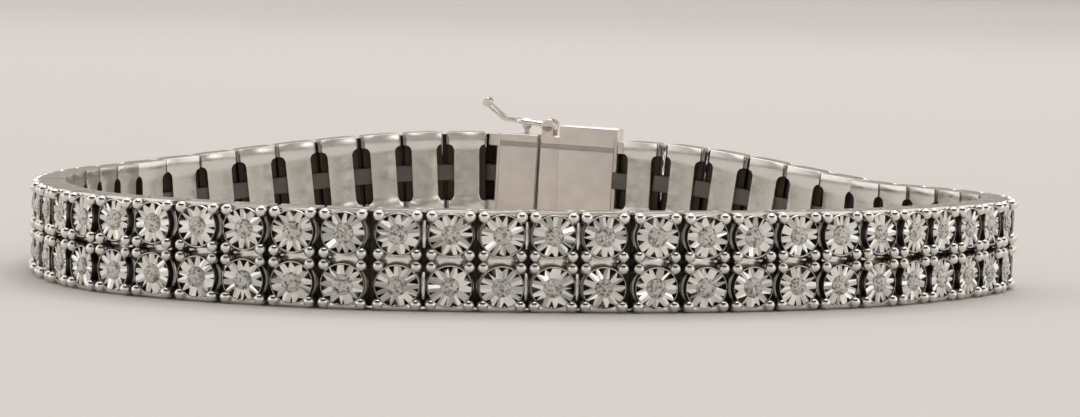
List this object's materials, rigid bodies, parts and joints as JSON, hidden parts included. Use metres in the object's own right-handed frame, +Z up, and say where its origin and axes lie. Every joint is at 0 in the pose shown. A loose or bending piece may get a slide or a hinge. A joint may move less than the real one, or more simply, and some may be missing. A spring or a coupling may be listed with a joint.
{
  "type": "tennis bracelet",
  "caption": "Two-row diamond tennis bracelet of hinged cup-set links, closed in a loop on its edge, with a box clasp whose figure-eight safety catch swings on its hinge.",
  "frame": {"origin": "middle of the footprint, on the surface that the bracelet stands on", "axes": "+Z up through the wrist hollow, +X along the long way of the loop, -Y the front opposite the clasp"},
  "size_m": [0.0662, 0.0516, 0.0111],
  "materials": {
    "white_metal": "polished rhodium plate with bright-cut facets",
    "diamond": "small round brilliants, slightly grey"
  },
  "bodies": {
    "bracelet": {"link_strand_01": "white_metal", "link_strand_02": "white_metal", "link_strand_03": "white_metal", "link_strand_04": "white_metal", "link_strand_05": "white_metal", "link_strand_06": "white_metal", "link_strand_07": "white_metal", "link_strand_08": "white_metal", "link_strand_09": "white_metal", "link_strand_10": "white_metal", "link_strand_11": "white_metal", "link_strand_12": "white_metal", "link_strand_13": "white_metal", "link_strand_14": "white_metal", "link_strand_15": "white_metal", "link_strand_16": "white_metal", "link_strand_17": "white_metal", "link_strand_18": "white_metal", "clasp_box": "white_metal", "clasp_tongue": "white_metal", "lower_safety_catch": "white_metal"},
    "safety_catch": {"safety_catch": "white_metal"}
  },
  "joints": [
    {"name": "safety_catch_hinge", "type": "hinge", "parent": "bracelet", "child": "safety_catch", "pos_m": [0.00171, 0.02393, 0.0091], "axis": [0.1893, 0.9819, 0], "range_deg": [-5, 110]}
  ]
}
